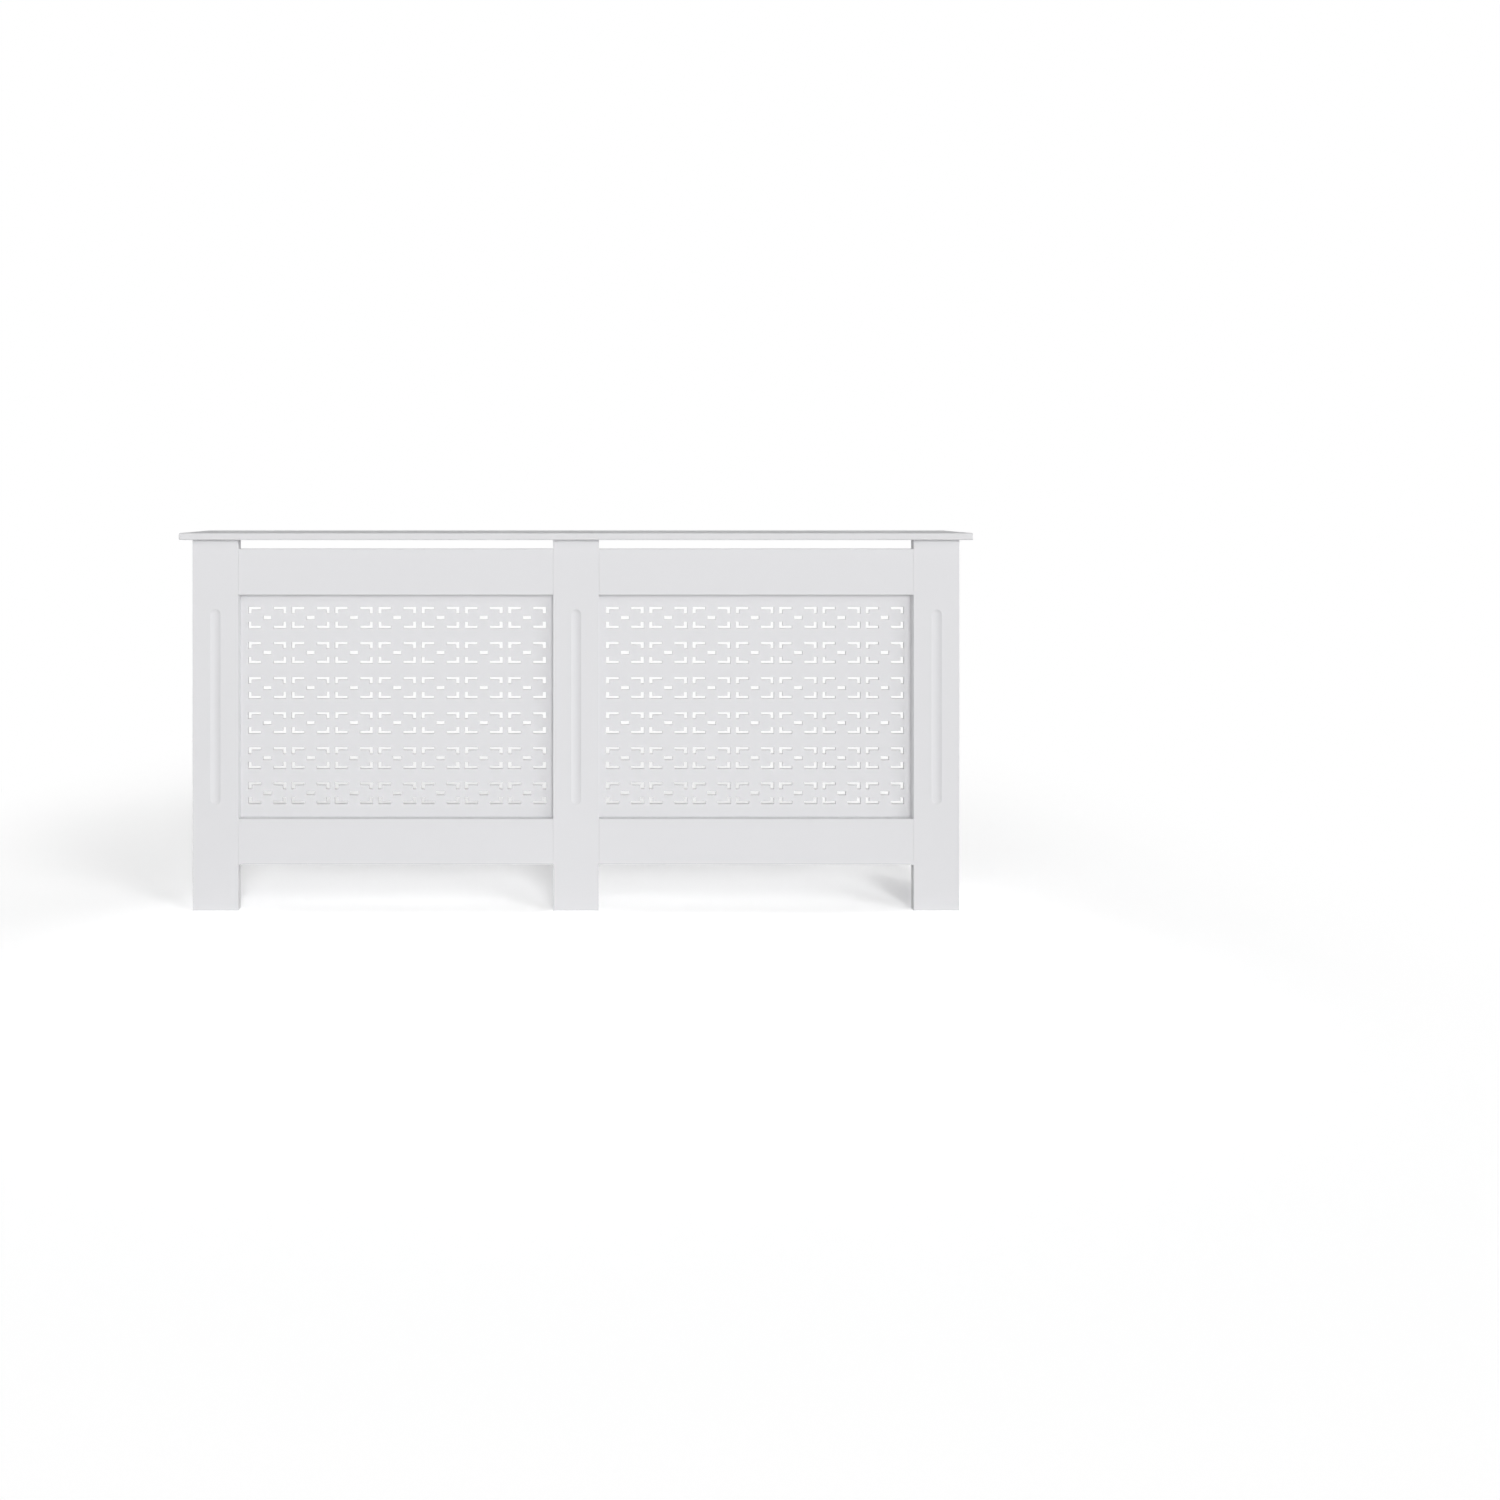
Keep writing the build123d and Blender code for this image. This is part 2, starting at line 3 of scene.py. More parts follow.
import bmesh
import bpy
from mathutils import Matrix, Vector


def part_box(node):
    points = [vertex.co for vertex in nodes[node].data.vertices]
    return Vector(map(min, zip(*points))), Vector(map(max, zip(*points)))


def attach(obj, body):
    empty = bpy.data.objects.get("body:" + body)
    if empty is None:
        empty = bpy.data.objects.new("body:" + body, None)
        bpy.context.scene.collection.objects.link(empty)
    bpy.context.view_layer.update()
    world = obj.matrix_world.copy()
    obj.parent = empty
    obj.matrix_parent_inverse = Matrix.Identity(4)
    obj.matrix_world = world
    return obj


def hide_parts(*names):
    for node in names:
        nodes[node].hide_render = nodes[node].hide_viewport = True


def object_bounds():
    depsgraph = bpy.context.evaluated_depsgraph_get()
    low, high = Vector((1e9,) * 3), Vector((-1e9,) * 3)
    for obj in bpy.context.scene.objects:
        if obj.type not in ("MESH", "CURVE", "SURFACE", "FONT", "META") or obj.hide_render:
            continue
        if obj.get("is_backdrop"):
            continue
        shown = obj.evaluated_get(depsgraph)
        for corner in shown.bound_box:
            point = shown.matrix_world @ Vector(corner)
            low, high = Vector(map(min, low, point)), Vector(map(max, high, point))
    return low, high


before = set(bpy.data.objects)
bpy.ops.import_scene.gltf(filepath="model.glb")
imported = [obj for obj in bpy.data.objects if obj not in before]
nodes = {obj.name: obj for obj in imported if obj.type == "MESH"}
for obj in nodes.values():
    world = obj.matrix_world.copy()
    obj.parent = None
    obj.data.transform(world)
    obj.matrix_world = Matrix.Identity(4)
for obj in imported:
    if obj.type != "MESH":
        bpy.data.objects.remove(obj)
scene = bpy.context.scene
cad_low, cad_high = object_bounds()


# ---- Camera. It stands before the middle of the cabinet, level, a little above the shelf. The
# ---- cabinet is left of and below the middle of the picture, so the lens is shifted, not turned.
picture_width_px = 1500.0
focal_length_px = 1109.4
middle_x_px = 576.0
horizon_y_px = 497.5
film_width_mm = 36.0
camera_distance = 2.4
camera_height = 0.9

lens = bpy.data.cameras.new("camera")
lens.sensor_width = film_width_mm
lens.lens = film_width_mm * focal_length_px / picture_width_px
lens.shift_x = 0.5 - middle_x_px / picture_width_px
lens.shift_y = horizon_y_px / picture_width_px - 0.5
camera = bpy.data.objects.new("camera", lens)
camera.location = (0, cad_low.y - camera_distance, camera_height)
camera.rotation_euler = (math.radians(90), 0, 0)
scene.collection.objects.link(camera)
scene.camera = camera
scene.view_settings.view_transform = "Standard"


# ---- Posts: three boards of fibreboard, each with one flute run by a core-box cutter. They are
# ---- sprayed with a satin white paint, which lies thinner and rougher on the sawn edges.
white_film = (0.76, 0.76, 0.775, 1.0)
white_on_edges = (0.75, 0.75, 0.762, 1.0)
film_shine = 0.06
film_roughness, edge_roughness = 0.55, 0.06
face_cosine, edge_cosine = 0.9, 0.5

# Broad clouds over a board.
drift_scale, drift_share, drift_roughness = 5.0, 0.05, 0.08
drift_shade = (0.8, 0.8, 0.82, 1.0)

# The film's peel on the faces, and the raised fibres of the sawn edges.
peel_scale, fibre_scale = 700.0, 2600.0
fibre_roughness, fibre_height = 0.12, 1.5
relief_depth, relief_strength = 0.00004, 0.5


class Wire:
    """An output socket in a node tree. Sums on wires and numbers add the Math nodes they need."""

    def __init__(self, tree, socket=None):
        self.tree = tree
        self.socket = socket

    def add(self, kind, settings=None, inputs=None, output=0):
        """A new node. Its settings come first, because they choose its sockets."""
        node = self.tree.nodes.new(kind)
        for name, value in (settings or {}).items():
            setattr(node, name, value)
        for name, value in (inputs or {}).items():
            if isinstance(value, Wire):
                self.tree.links.new(value.socket, node.inputs[name])
            else:
                node.inputs[name].default_value = value
        return Wire(self.tree, node.outputs[output] if node.outputs else None)

    def other(self, output):
        """Another output of the same node."""
        return Wire(self.tree, self.socket.node.outputs[output])

    def math(self, operation, second=0.0):
        """A Math node on this wire and a second wire or number."""
        return self.add("ShaderNodeMath", {"operation": operation}, {0: self, 1: second})

    def __add__(self, second):
        return self.math("ADD", second)

    def __sub__(self, second):
        return self.math("SUBTRACT", second)

    def __mul__(self, second):
        return self.math("MULTIPLY", second)

    def __rsub__(self, first):
        return self.add("ShaderNodeMath", {"operation": "SUBTRACT"}, {0: first, 1: self})

    __radd__ = __add__
    __rmul__ = __mul__


def new_material(name, **constants):
    """A material, the start of its tree and its Principled shader, with plain values set on it."""
    material = bpy.data.materials.new(name)
    material.use_nodes = True
    tree = material.node_tree
    shader = next(node for node in tree.nodes if node.type == "BSDF_PRINCIPLED")
    for socket, value in constants.items():
        shader.inputs[socket.replace("_", " ")].default_value = value
    return material, Wire(tree), shader


def feed(node, socket, wire):
    """Joins a wire to one of a node's sockets."""
    wire.tree.links.new(wire.socket, node.inputs[socket])


def noise(place, scale, detail=2.0):
    """A cloudy pattern from 0 to 1."""
    return place.add("ShaderNodeTexNoise", {}, {"Vector": place, "Scale": scale, "Detail": detail})


def mixed(share, first, second, way="MIX"):
    """The first colour with a share of the second in it, or multiplied into it."""
    return share.add(
        "ShaderNodeMix",
        {"data_type": "RGBA", "blend_type": way},
        {"Factor": share, "A": first, "B": second},
        output="Result",
    )


def emboss(shader, height, depth, strength=1.0):
    """Gives the shader a bump from a pattern of heights."""
    bump = height.add(
        "ShaderNodeBump", {}, {"Height": height, "Strength": strength, "Distance": depth}
    )
    feed(shader, "Normal", bump)


def satin_paint(name, flat_axis):
    """White paint on fibreboard. flat_axis is the letter of the axis across the board, and the
    faces that look along another axis are the board's sawn edges."""
    material, start, shader = new_material(name, Specular_IOR_Level=film_shine)
    place = start.add("ShaderNodeTexCoord", output="Object")
    across = start.add("ShaderNodeNewGeometry", output="True Normal")
    across = across.add("ShaderNodeSeparateXYZ", {}, {0: across}, output=flat_axis)
    sawn = across.add(
        "ShaderNodeMapRange",
        {"interpolation_type": "SMOOTHSTEP"},
        {"Value": across.math("ABSOLUTE"), "From Min": face_cosine, "From Max": edge_cosine},
    )
    peel = noise(place, peel_scale)
    fibre = noise(place, fibre_scale, detail=3.0)
    drift = noise(place, drift_scale)

    tint = mixed(sawn, white_film, white_on_edges)
    feed(shader, "Base Color", mixed(drift * drift_share, tint, drift_shade, "MULTIPLY"))
    dull_edges = sawn * (edge_roughness + fibre * fibre_roughness)
    feed(shader, "Roughness", film_roughness + drift * drift_roughness + dull_edges)
    relief = peel * (1 - sawn) + sawn * fibre * fibre_height
    emboss(shader, relief, relief_depth, relief_strength)
    return material


def coat(material, *names):
    """Gives CAD nodes their material."""
    for name in names:
        mesh = nodes[name].data
        mesh.materials.clear()
        mesh.materials.append(material)


frame_paint = satin_paint("frame_paint", flat_axis="Y")
coat(frame_paint, "post_left", "post_centre", "post_right")


# ---- Rails: the boards above and below each opening, cut, eased at the front and painted as the
# ---- posts are.
coat(frame_paint, "top_rail_left", "top_rail_right", "bottom_rail_left", "bottom_rail_right")


# ---- Grilles: two thin sheets of fibreboard, fretted by a router in a repeat of four L-shaped
# ---- slots round a short dash. The arrises are rubbed down, and the paint runs round them.
edge_softness = 0.0004
motif_columns, motif_rows = 7, 6
motif_pitch_x, motif_pitch_z = 0.095, 0.077
motif_width, motif_height = 0.083, 0.047
level_leg, level_slot = 0.028, 0.0058
upright_leg, upright_slot = 0.0145, 0.007
dash_width, dash_height = 0.018, 0.0082
screw_hole_radius = 0.00205
screw_hole_sides = 20

# How near to each other two points, two widths and two places count as the same.
same_point = 1e-6
width_decimals, place_decimals = 6, 5


def rectangle(low_x, low_z, high_x, high_z):
    """The corners of an upright rectangle as (x, z), counter-clockwise."""
    return [(low_x, low_z), (high_x, low_z), (high_x, high_z), (low_x, high_z)]


def grown(outline, distance):
    """A counter-clockwise outline with each of its sides moved outwards by the distance."""
    corners = [Vector(corner) for corner in outline]
    result = []
    for index, corner in enumerate(corners):
        enter = (corner - corners[index - 1]).normalized()
        leave = (corners[(index + 1) % len(corners)] - corner).normalized()
        outwards = Vector((enter.y, -enter.x)) + Vector((leave.y, -leave.x))
        result.append(corner + outwards * (2 * distance / outwards.length_squared))
    return result


def add_slab(shape, outline, steps):
    """Adds to a bmesh a closed slab through the outline at each (y, distance grown) step."""
    rings = []
    for y, distance in steps:
        rings.append([shape.verts.new((x, y, z)) for x, z in grown(outline, distance)])
    shape.faces.new(rings[0])
    shape.faces.new(reversed(rings[-1]))
    for near, far in zip(rings, rings[1:]):
        for index in range(len(outline)):
            after = (index + 1) % len(outline)
            shape.faces.new((near[after], near[index], far[index], far[after]))


def closed_mesh(name, shape):
    """A mesh from a bmesh of closed solids, with every face turned outwards."""
    bmesh.ops.recalc_face_normals(shape, faces=shape.faces)
    mesh = bpy.data.meshes.new(name)
    shape.to_mesh(mesh)
    shape.free()
    return mesh


def new_object(name, mesh):
    """A mesh put into the scene as it is, at the origin."""
    made = bpy.data.objects.new(name, mesh)
    scene.collection.objects.link(made)
    return made


def new_tree(name, **kinds):
    """The start of a tree that takes a mesh, other inputs by name, and a material."""
    tree = bpy.data.node_groups.new(name, "GeometryNodeTree")
    tree.interface.new_socket("Mesh", in_out="INPUT", socket_type="NodeSocketGeometry")
    tree.interface.new_socket("Mesh", in_out="OUTPUT", socket_type="NodeSocketGeometry")
    for label, kind in (kinds | {"Material": "Material"}).items():
        label = label.replace("_", " ")
        tree.interface.new_socket(label, in_out="INPUT", socket_type="NodeSocket" + kind)
    return Wire(tree).add("NodeGroupInput")


def given_object(start, label):
    """The mesh of the object that one of the tree's inputs names."""
    return start.add(
        "GeometryNodeObjectInfo", {}, {"Object": start.other(label)}, output="Geometry"
    )


def cut_away(base, cutters):
    """The base without what the cutters take from it."""
    return base.add(
        "GeometryNodeMeshBoolean",
        {"operation": "DIFFERENCE", "solver": "MANIFOLD"},
        {"Mesh 1": base, "Mesh 2": cutters},
    )


def end_tree(start, result):
    """Ends a tree with one plain mesh in the material that the tree is given."""
    result = start.add("GeometryNodeRealizeInstances", {}, {"Geometry": result})
    result = start.add(
        "GeometryNodeSetMaterial", {}, {"Geometry": result, "Material": start.other("Material")}
    )
    start.add("NodeGroupOutput", {}, {0: result})
    return start.tree


def grow(name, mesh, tree, **values):
    """A new object with what the tree makes of a mesh, as a plain mesh without a modifier."""
    made = new_object(name, mesh)
    modifier = made.modifiers.new(name, "NODES")
    modifier.node_group = tree
    for item in tree.interface.items_tree:
        label = item.name.replace(" ", "_")
        if item.in_out == "INPUT" and label in values:
            modifier[item.identifier] = values[label]
    ready = made.evaluated_get(bpy.context.evaluated_depsgraph_get())
    plain = bpy.data.meshes.new_from_object(ready)
    while plain.materials[0] is None:
        plain.materials.pop(index=0)
    made.modifiers.clear()
    made.data = plain
    return made


def stand_for(piece, slot, *names):
    """Puts a piece on the cabinet's one body in the place of CAD nodes."""
    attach(piece, "root")
    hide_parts(*names)


def places(name):
    """For each solid of a CAD node, the middle of its foot, its way up and its length. The way up
    is along its longest side, towards its wider end, or the way of the axis if both are alike."""
    copy = bmesh.new()
    copy.from_mesh(nodes[name].data)
    bmesh.ops.remove_doubles(copy, verts=copy.verts, dist=same_point)
    waiting = set(copy.verts)
    found = []
    for first in copy.verts:
        if first not in waiting:
            continue
        waiting.discard(first)
        reached = [first]
        for vertex in reached:
            for edge in vertex.link_edges:
                neighbour = edge.other_vert(vertex)
                if neighbour in waiting:
                    waiting.discard(neighbour)
                    reached.append(neighbour)
        points = [vertex.co for vertex in reached]
        low = Vector([min(point[axis] for point in points) for axis in range(3)])
        high = Vector([max(point[axis] for point in points) for axis in range(3)])
        middle, extent = (low + high) / 2, high - low
        along = max(range(3), key=lambda axis: extent[axis])
        line = Vector([float(axis == along) for axis in range(3)])
        widths = [round((point - middle).cross(line).length, width_decimals) for point in points]
        _, widest_at = max(zip(widths, [point[along] for point in points]))
        way = line if widest_at > middle[along] else -line
        found.append((middle - way * extent[along] / 2, way, extent[along]))
    copy.free()
    return sorted(found, key=lambda place: [round(value, place_decimals) for value in place[0]])


def points_mesh(name, found, share=0.0):
    """One vertex for each place, at a share of its length, with its way up as an attribute."""
    mesh = bpy.data.meshes.new(name)
    mesh.from_pydata([foot + way * length * share for foot, way, length in found], [], [])
    ways = mesh.attributes.new("way", "FLOAT_VECTOR", "POINT")
    for value, (_, way, _) in zip(ways.data, found):
        value.vector = way
    return mesh


# The cutters are one motif and one screw hole. They stand proud of both faces of the sheet, and
# the motif flares there, which is what takes the arrises off.
sheet_low, sheet_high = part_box("grille_right")
half_sheet = (sheet_high[1] - sheet_low[1]) / 2
proud = half_sheet + edge_softness
within = half_sheet - edge_softness
motif_steps = [(-proud, 2 * edge_softness), (-within, 0), (within, 0), (proud, 2 * edge_softness)]
outer_x, outer_z = motif_width / 2, motif_height / 2
shape = bmesh.new()
for side_x in (-1, 1):
    for side_z in (-1, 1):
        corners = [
            (outer_x, outer_z),
            (outer_x - level_leg, outer_z),
            (outer_x - level_leg, outer_z - level_slot),
            (outer_x - upright_slot, outer_z - level_slot),
            (outer_x - upright_slot, outer_z - upright_leg),
            (outer_x, outer_z - upright_leg),
        ]
        corners = [(side_x * x, side_z * z) for x, z in corners]
        add_slab(shape, corners if side_x == side_z else corners[::-1], motif_steps)
dash = rectangle(-dash_width / 2, -dash_height / 2, dash_width / 2, dash_height / 2)
add_slab(shape, dash, motif_steps)
motif_cutter = new_object("motif_cutter", closed_mesh("motif_cutter", shape))

turns = [math.tau * index / screw_hole_sides for index in range(screw_hole_sides)]
rim = [(screw_hole_radius * math.cos(turn), screw_hole_radius * math.sin(turn)) for turn in turns]
shape = bmesh.new()
add_slab(shape, rim, [(-proud, 0), (proud, 0)])
hole_cutter = new_object("hole_cutter", closed_mesh("hole_cutter", shape))

start = new_tree(
    "fretwork",
    Middle="Vector",
    Columns="Int",
    Rows="Int",
    Pitch_Across="Float",
    Pitch_Up="Float",
    Motif="Object",
    Hole="Object",
    Hole_Places="Object",
)
columns, rows = start.other("Columns"), start.other("Rows")
grid = start.add(
    "GeometryNodeMeshGrid",
    {},
    {
        "Size X": (columns - 1) * start.other("Pitch Across"),
        "Size Y": (rows - 1) * start.other("Pitch Up"),
        "Vertices X": columns,
        "Vertices Y": rows,
    },
)
upright = {"Translation": start.other("Middle"), "Rotation": (math.radians(90), 0, 0)}
grid = start.add("GeometryNodeTransform", {}, {"Geometry": grid} | upright)
motif, hole = given_object(start, "Motif"), given_object(start, "Hole")
hole_points = given_object(start, "Hole Places")
fret = start.add("GeometryNodeInstanceOnPoints", {}, {"Points": grid, "Instance": motif})
holes = start.add("GeometryNodeInstanceOnPoints", {}, {"Points": hole_points, "Instance": hole})
cuts = start.add("GeometryNodeJoinGeometry")
feed(cuts.socket.node, "Geometry", fret)
feed(cuts.socket.node, "Geometry", holes)
cuts = start.add("GeometryNodeRealizeInstances", {}, {"Geometry": cuts})
fretwork = end_tree(start, cut_away(start, cuts))

grille_paint = satin_paint("grille_paint", flat_axis="Y")
for name in ("grille_left", "grille_right"):
    low, high = (Vector(corner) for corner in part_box(name))
    middle = (low + high) / 2
    sheet_steps = [
        (low.y, -edge_softness),
        (low.y + edge_softness, 0),
        (high.y - edge_softness, 0),
        (high.y, -edge_softness),
    ]
    shape = bmesh.new()
    add_slab(shape, rectangle(low.x, low.z, high.x, high.z), sheet_steps)
    hole_places = [
        (Vector((foot.x, middle.y, foot.z)), way, length)
        for foot, way, length in places("grille_screws")
        if low.x < foot.x < high.x
    ]
    marks = new_object("hole_places", points_mesh("hole_places", hole_places))
    grille = grow(
        f"fretted_{name}",
        closed_mesh("sheet", shape),
        fretwork,
        Middle=middle,
        Columns=motif_columns,
        Rows=motif_rows,
        Pitch_Across=motif_pitch_x,
        Pitch_Up=motif_pitch_z,
        Motif=motif_cutter,
        Hole=hole_cutter,
        Hole_Places=marks,
        Material=grille_paint,
    )
    stand_for(grille, "painted_grille", name)
    bpy.data.objects.remove(marks)
bpy.data.objects.remove(motif_cutter)
bpy.data.objects.remove(hole_cutter)


# ---- Grille screws: pan-head steel screws with a cold-formed cross recess and a rolled thread,
# ---- plated with bright zinc. Fourteen hold each grille from behind, turned as they came to rest.
grille_screw_radius, grille_screw_length = 0.00175, 0.014
screw_sides = 20
crease_angle = math.radians(30)

# Shares of the thread's radius.
thread_root, thread_pitch = 0.68, 0.9
tip_radius, tip_length = 0.12, 1.6
head_radius = 2.0
pan_height, pan_rim = 1.2, 0.4
sunk_height, sunk_rim = 1.0, 0.06
cross_reach, cross_half_width = 1.05, 0.23
cross_depth, cross_above, cross_narrowing = 0.75, 0.3, 0.45

# The smooth length under the head, a share of the pitch, and the ridge's slope and rings a turn.
thread_runout, ridge_slope, thread_rings_per_turn = 0.25, 3.4, 6

# The heads' edges as shares of the head's radius, the height of the pan's lower edge as a share
# of its rim, and the steps and the fullness of its dome.
pan_seat, sunk_edge, sunk_face = 0.97, 0.99, 0.96
pan_edge, dome_steps, dome_fullness = 0.2, 5, 0.75

# How far the plating's clouds and grain change its roughness.
cloud_dullness, grain_dullness = 0.2, 0.1


def turned(name, rings, sides):
    """A closed solid about Z. Each ring is a height and a function that gives the radius at an
    angle, or no function at the first and the last height, where the solid ends in a point."""
    shape = bmesh.new()
    turns = [math.tau * index / sides for index in range(sides)]
    loops = []
    for height, radius_at in rings:
        points = [(0, 0, height)]
        if radius_at is not None:
            polar = [(radius_at(turn), turn) for turn in turns]
            points = [(out * math.cos(turn), out * math.sin(turn), height) for out, turn in polar]
        loops.append([shape.verts.new(point) for point in points])
    for lower, upper in zip(loops, loops[1:]):
        for index in range(sides):
            after = (index + 1) % sides
            if len(lower) == 1:
                shape.faces.new((lower[0], upper[after], upper[index]))
            elif len(upper) == 1:
                shape.faces.new((lower[index], lower[after], upper[0]))
            else:
                shape.faces.new((lower[index], lower[after], upper[after], upper[index]))
    return closed_mesh(name, shape)


def round_at(radius):
    """The same radius at every angle."""
    return lambda turn: radius


def thread_at(height, crest, root, pitch):
    """A ridge that climbs by one pitch a turn, from the root's radius to the crest's."""

    def radius_at(turn):
        phase = (height / pitch - turn / math.tau) % 1.0
        ridge = max(0.0, 1.0 - abs(phase - 0.5) * ridge_slope)
        return root + (crest - root) * ridge

    return radius_at


def screw_mesh(name, radius, length, countersunk):
    """A screw that stands on its tip, with the head's seat or its flat face at its length."""
    pitch = thread_pitch * radius
    neck = length - sunk_height * radius if countersunk else length
    threaded = neck - thread_runout * pitch
    rings = [(0, None)]
    count = round(threaded / pitch * thread_rings_per_turn)
    for index in range(1, count):
        height = threaded * index / count
        crest = radius * min(1.0, tip_radius + height / (tip_length * radius))
        rings.append((height, thread_at(height, crest, crest * thread_root, pitch)))
    rings.append((neck, round_at(radius * thread_root)))

    head = head_radius * radius
    if countersunk:
        rings.append((length - sunk_rim * radius, round_at(head * sunk_edge)))
        rings.append((length, round_at(head * sunk_face)))
        rings.append((length, None))
        return turned(name, rings, screw_sides)
    top, rim = pan_height * radius, pan_rim * radius
    rings.append((length, round_at(head * pan_seat)))
    rings.append((length + pan_edge * rim, round_at(head)))
    rings.append((length + rim, round_at(head)))
    for step in range(1, dome_steps):
        angle = step / dome_steps * math.pi / 2
        height = length + rim + (top - rim) * math.sin(angle)
        rings.append((height, round_at(head * math.cos(angle) ** dome_fullness)))
    rings.append((length + top, None))
    return turned(name, rings, screw_sides)


def cross_mesh(name, radius, face):
    """The plug that presses a tapered cross into a head whose face is at the given height."""
    reach, half_width = cross_reach * radius, cross_half_width * radius
    outline = []
    for cosine, sine in ((1, 0), (0, 1), (-1, 0), (0, -1)):
        for x, z in ((half_width, -reach), (half_width, -half_width), (reach, -half_width)):
            outline.append((x * cosine - z * sine, x * sine + z * cosine))
    shape = bmesh.new()
    foot, top = face - cross_depth * radius, face + cross_above * radius
    rings = []
    for height, share in ((foot, 1 - cross_narrowing), (top, 1.0)):
        rings.append([shape.verts.new((x * share, z * share, height)) for x, z in outline])
    shape.faces.new(rings[0])
    shape.faces.new(reversed(rings[1]))
    for index in range(len(outline)):
        after = (index + 1) % len(outline)
        shape.faces.new((rings[0][after], rings[0][index], rings[1][index], rings[1][after]))
    return closed_mesh(name, shape)


start = new_tree("pressed_recess", Plug="Object")
pressed_recess = end_tree(start, cut_away(start, given_object(start, "Plug")))

# Each fitting stands on its point the way that the point says, turned about itself by chance, and
# keeps a number of its own, its lot, for its material.
start = new_tree("set_out", Fitting="Object", Seed="Int", Crease="Float")
fitting = given_object(start, "Fitting")
angle = start.add(
    "FunctionNodeRandomValue",
    {"data_type": "FLOAT"},
    {"Min": 0.0, "Max": math.tau, "Seed": start.other("Seed")},
    output="Value",
)
spin = start.add("FunctionNodeAxisAngleToRotation", {}, {"Axis": (0, 0, 1), "Angle": angle})
way = start.add("GeometryNodeInputNamedAttribute", {"data_type": "FLOAT_VECTOR"}, {"Name": "way"})
stance = start.add(
    "FunctionNodeAlignRotationToVector", {"axis": "Z"}, {"Rotation": spin, "Vector": way}
)
fittings = start.add(
    "GeometryNodeInstanceOnPoints", {}, {"Points": start, "Instance": fitting, "Rotation": stance}
)
lot = start.add(
    "FunctionNodeRandomValue",
    {"data_type": "FLOAT"},
    {"Seed": start.other("Seed")},
    output="Value",
)
fittings = start.add(
    "GeometryNodeStoreNamedAttribute",
    {"data_type": "FLOAT", "domain": "INSTANCE"},
    {"Geometry": fittings, "Name": "lot", "Value": lot},
)
fittings = start.add("GeometryNodeRealizeInstances", {}, {"Geometry": fittings})
fold = start.add("GeometryNodeInputMeshEdgeAngle", output="Unsigned Angle")
creased = {
    "Selection": fold.math("GREATER_THAN", start.other("Crease")),
    "Shade Smooth": False,
}
fittings = start.add(
    "GeometryNodeSetShadeSmooth", {"domain": "EDGE"}, {"Geometry": fittings} | creased
)
fittings = start.add(
    "GeometryNodeSetShadeSmooth", {"domain": "FACE"}, {"Geometry": fittings, "Shade Smooth": True}
)
set_out = end_tree(start, fittings)


def metal(name, color, dull_color, roughness, cloud_scale, grain_scale, grain_depth):
    """A bare or plated metal whose colour and roughness drift, with a fine grain."""
    material, start, shader = new_material(name, Metallic=1.0)
    place = start.add("ShaderNodeTexCoord", output="Object")
    cloud = noise(place, cloud_scale)
    grain = noise(place, grain_scale, detail=3.0)
    feed(shader, "Base Color", mixed(cloud, color, dull_color))
    dull = (cloud - 0.5) * cloud_dullness + (grain - 0.5) * grain_dullness
    feed(shader, "Roughness", roughness + dull)
    emboss(shader, grain, grain_depth)
    return material


bright_zinc = metal(
    "bright_zinc",
    color=(0.72, 0.73, 0.76, 1.0),
    dull_color=(0.58, 0.59, 0.62, 1.0),
    roughness=0.33,
    cloud_scale=260.0,
    grain_scale=5000.0,
    grain_depth=0.000008,
)


def set_screws(node, radius, length, countersunk, seed):
    """Puts screws in the places of a CAD node's solids, each turned about itself by chance."""
    plain = screw_mesh(f"plain_{node}", radius, length, countersunk)
    face = length if countersunk else length + pan_height * radius
    plug = new_object("plug", cross_mesh("plug", radius, face))
    fitting = grow(f"one_{node}", plain, pressed_recess, Plug=plug, Material=bright_zinc)
    piece = grow(
        f"driven_{node}",
        points_mesh(node, places(node)),
        set_out,
        Fitting=fitting,
        Seed=seed,
        Crease=crease_angle,
        Material=bright_zinc,
    )
    stand_for(piece, "zinc_plated_steel", node)
    bpy.data.objects.remove(plug)
    bpy.data.objects.remove(fitting)


set_screws("grille_screws", grille_screw_radius, grille_screw_length, countersunk=False, seed=3)


# ---- Side panels and the two halves of the shelf: the same board and paint, lying another way
# ---- round. The shelf's front and outer edges are rounded before they are painted.
panel_paint = satin_paint("panel_paint", flat_axis="X")
coat(panel_paint, "side_panel_left", "side_panel_right")

shelf_paint = satin_paint("shelf_paint", flat_axis="Z")
coat(shelf_paint, "shelf_left", "shelf_right")


# ---- Dowels: beech rods cut off square and chamfered, with straight flutes pressed in along them
# ---- that let the glue and the air past. They are glued into one board and slide into the next.
dowel_radius, dowel_length, dowel_chamfer = 0.004, 0.03, 0.001
dowel_flutes = 14
dowel_flute_depth = 0.00035
sides_per_flute = 4

pale_beech, dark_beech = (0.74, 0.55, 0.36, 1.0), (0.60, 0.41, 0.25, 1.0)
fleck_shade = (0.72, 0.62, 0.52, 1.0)
grain_stretch = (1.0, 1.0, 0.06)
ring_scale, fleck_scale, fleck_depth = 260.0, 1600.0, 0.00005
fleck_least = 0.4
beech_roughness, fleck_roughness = 0.6, 0.2


def fluted_at(turn):
    """The radius of a dowel at an angle: round, with a narrow groove at each flute."""
    groove = max(0.0, math.cos(turn * dowel_flutes))
    return dowel_radius - dowel_flute_depth * groove


